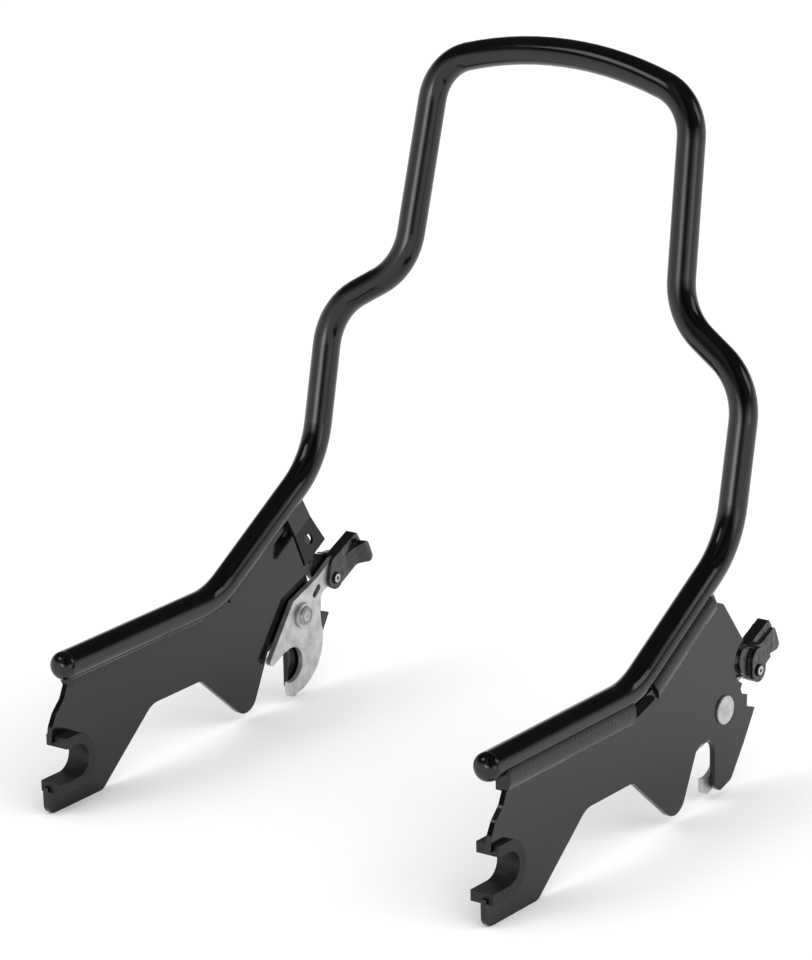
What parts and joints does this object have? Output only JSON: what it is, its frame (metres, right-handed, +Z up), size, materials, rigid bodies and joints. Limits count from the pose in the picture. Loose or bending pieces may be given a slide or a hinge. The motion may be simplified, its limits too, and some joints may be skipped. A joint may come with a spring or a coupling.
{
  "type": "sissy bar",
  "caption": "Detachable motorcycle sissy bar: bent tube hoop welded to two side plates with open rubber-lined front docks, rear stud slots and claw latches with thumb levers.",
  "frame": {"origin": "middle of the front docking axis, halfway between the two front bushes", "axes": "+X across to the bar's left side as seated on the motorcycle, +Y rearward, +Z up"},
  "size_m": [0.3008, 0.302, 0.3879],
  "materials": {
    "gloss_black": "gloss black powder coat",
    "black_plastic": "smooth black",
    "rubber": "matt",
    "zinc": "satin zinc plate",
    "black_spring": "blackened spring wire",
    "lever_black": "semi-gloss black"
  },
  "bodies": {
    "frame": {"hoop": "gloss_black", "end_plug_left": "black_plastic", "side_plate_left": "gloss_black", "front_weld_left": "gloss_black", "rear_weld_left": "gloss_black", "rack_tab_left": "gloss_black", "dock_bush_left": "rubber", "latch_rivet_left": "zinc", "latch_washer_left": "zinc", "end_plug_right": "black_plastic", "side_plate_right": "gloss_black", "front_weld_right": "gloss_black", "rear_weld_right": "gloss_black", "rack_tab_right": "gloss_black", "dock_bush_right": "rubber", "latch_rivet_right": "zinc", "latch_washer_right": "zinc"},
    "latch_left": {"latch_hook_left": "zinc", "lever_pin_left": "zinc", "lever_spring_left": "black_spring"},
    "lever_left": {"release_lever_left": "lever_black"},
    "latch_right": {"latch_hook_right": "zinc", "lever_pin_right": "zinc", "lever_spring_right": "black_spring"},
    "lever_right": {"release_lever_right": "lever_black"}
  },
  "joints": [
    {"name": "latch_swing_left", "type": "hinge", "parent": "frame", "child": "latch_left", "pos_m": [0.14, 0.2074, 0.0218], "axis": [1, 0, 0], "range_deg": [-18, 0]},
    {"name": "lever_press_left", "type": "hinge", "parent": "latch_left", "child": "lever_left", "pos_m": [0.1428, 0.2372, 0.036], "axis": [1, 0, 0], "range_deg": [0, 16], "stiffness_Nm_per_rad": 0.2, "springref_deg": -11.46},
    {"name": "latch_swing_right", "type": "hinge", "parent": "frame", "child": "latch_right", "pos_m": [-0.14, 0.2074, 0.0218], "axis": [1, 0, 0], "range_deg": [-18, 0]},
    {"name": "lever_press_right", "type": "hinge", "parent": "latch_right", "child": "lever_right", "pos_m": [-0.1428, 0.2372, 0.036], "axis": [1, 0, 0], "range_deg": [0, 16], "stiffness_Nm_per_rad": 0.2, "springref_deg": -11.46}
  ]
}
